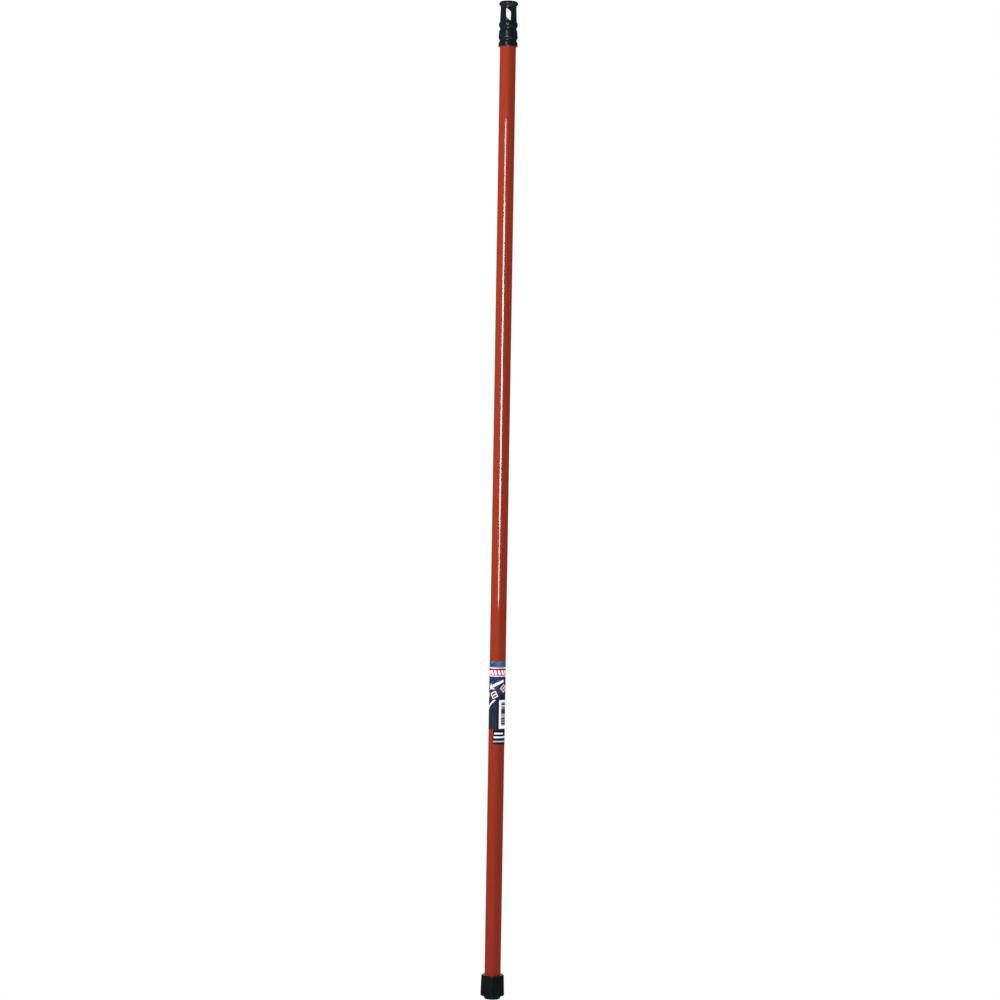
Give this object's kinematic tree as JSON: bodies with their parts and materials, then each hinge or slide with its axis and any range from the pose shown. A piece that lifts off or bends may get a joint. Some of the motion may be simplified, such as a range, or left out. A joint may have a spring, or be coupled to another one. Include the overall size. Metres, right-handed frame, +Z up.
{
  "type": "roller extension pole",
  "caption": "Telescopic pole with a twist-lock nut, a socket for a roller or tool at its lower end and a slotted cap to hang it by.",
  "frame": {"origin": "middle of the tool socket's mouth, at the pole's lower end", "axes": "+Z up along the pole to its hanging cap, Y along the hanging slot, with the label's front about 18 degrees round from -Y towards -X"},
  "size_m": [0.0368, 0.0368, 1.548],
  "materials": {
    "coated_tube": "glossy orange-red plastic coating",
    "black_cap": "satin moulded black",
    "black_lock": "satin moulded black",
    "printed_film": "glossy printed film",
    "black_film": "glossy printed film",
    "plated_tube": "bright zinc plating",
    "rivet_steel": "plain",
    "white_plastic": "natural nylon"
  },
  "bodies": {
    "outer": {"outer_tube": "coated_tube", "hanging_cap": "black_cap", "label_main": "printed_film", "label_text": "black_film", "threaded_sleeve": "black_lock", "sleeve_rivets": "rivet_steel", "split_collet": "white_plastic"},
    "clamp_ring": {"squeeze_ring": "white_plastic"},
    "nut": {"lock_nut": "black_lock"},
    "carriage": {"guide_ring": "white_plastic"},
    "inner": {"inner_tube": "plated_tube", "end_bush": "black_cap", "tool_socket": "black_cap", "socket_pins": "rivet_steel"}
  },
  "joints": [
    {"name": "clamp_travel", "type": "slide", "parent": "outer", "child": "clamp_ring", "axis": [0, 0, -1], "range_m": [0, 0.00167]},
    {"name": "nut_turn", "type": "hinge", "parent": "clamp_ring", "child": "nut", "pos_m": [0, 0, 0.0211], "axis": [0, 0, -1], "range_deg": [0, 150]},
    {"name": "inner_slide", "type": "slide", "parent": "outer", "child": "carriage", "axis": [0, 0, -1], "range_m": [0, 1.286]},
    {"name": "inner_spin", "type": "hinge", "parent": "carriage", "child": "inner", "pos_m": [0, 0, 0], "axis": [0, 0, -1], "continuous": true}
  ],
  "couplings": [
    {"joint": "clamp_travel", "follows": "nut_turn", "m_per_rad": 0.00063662}
  ]
}
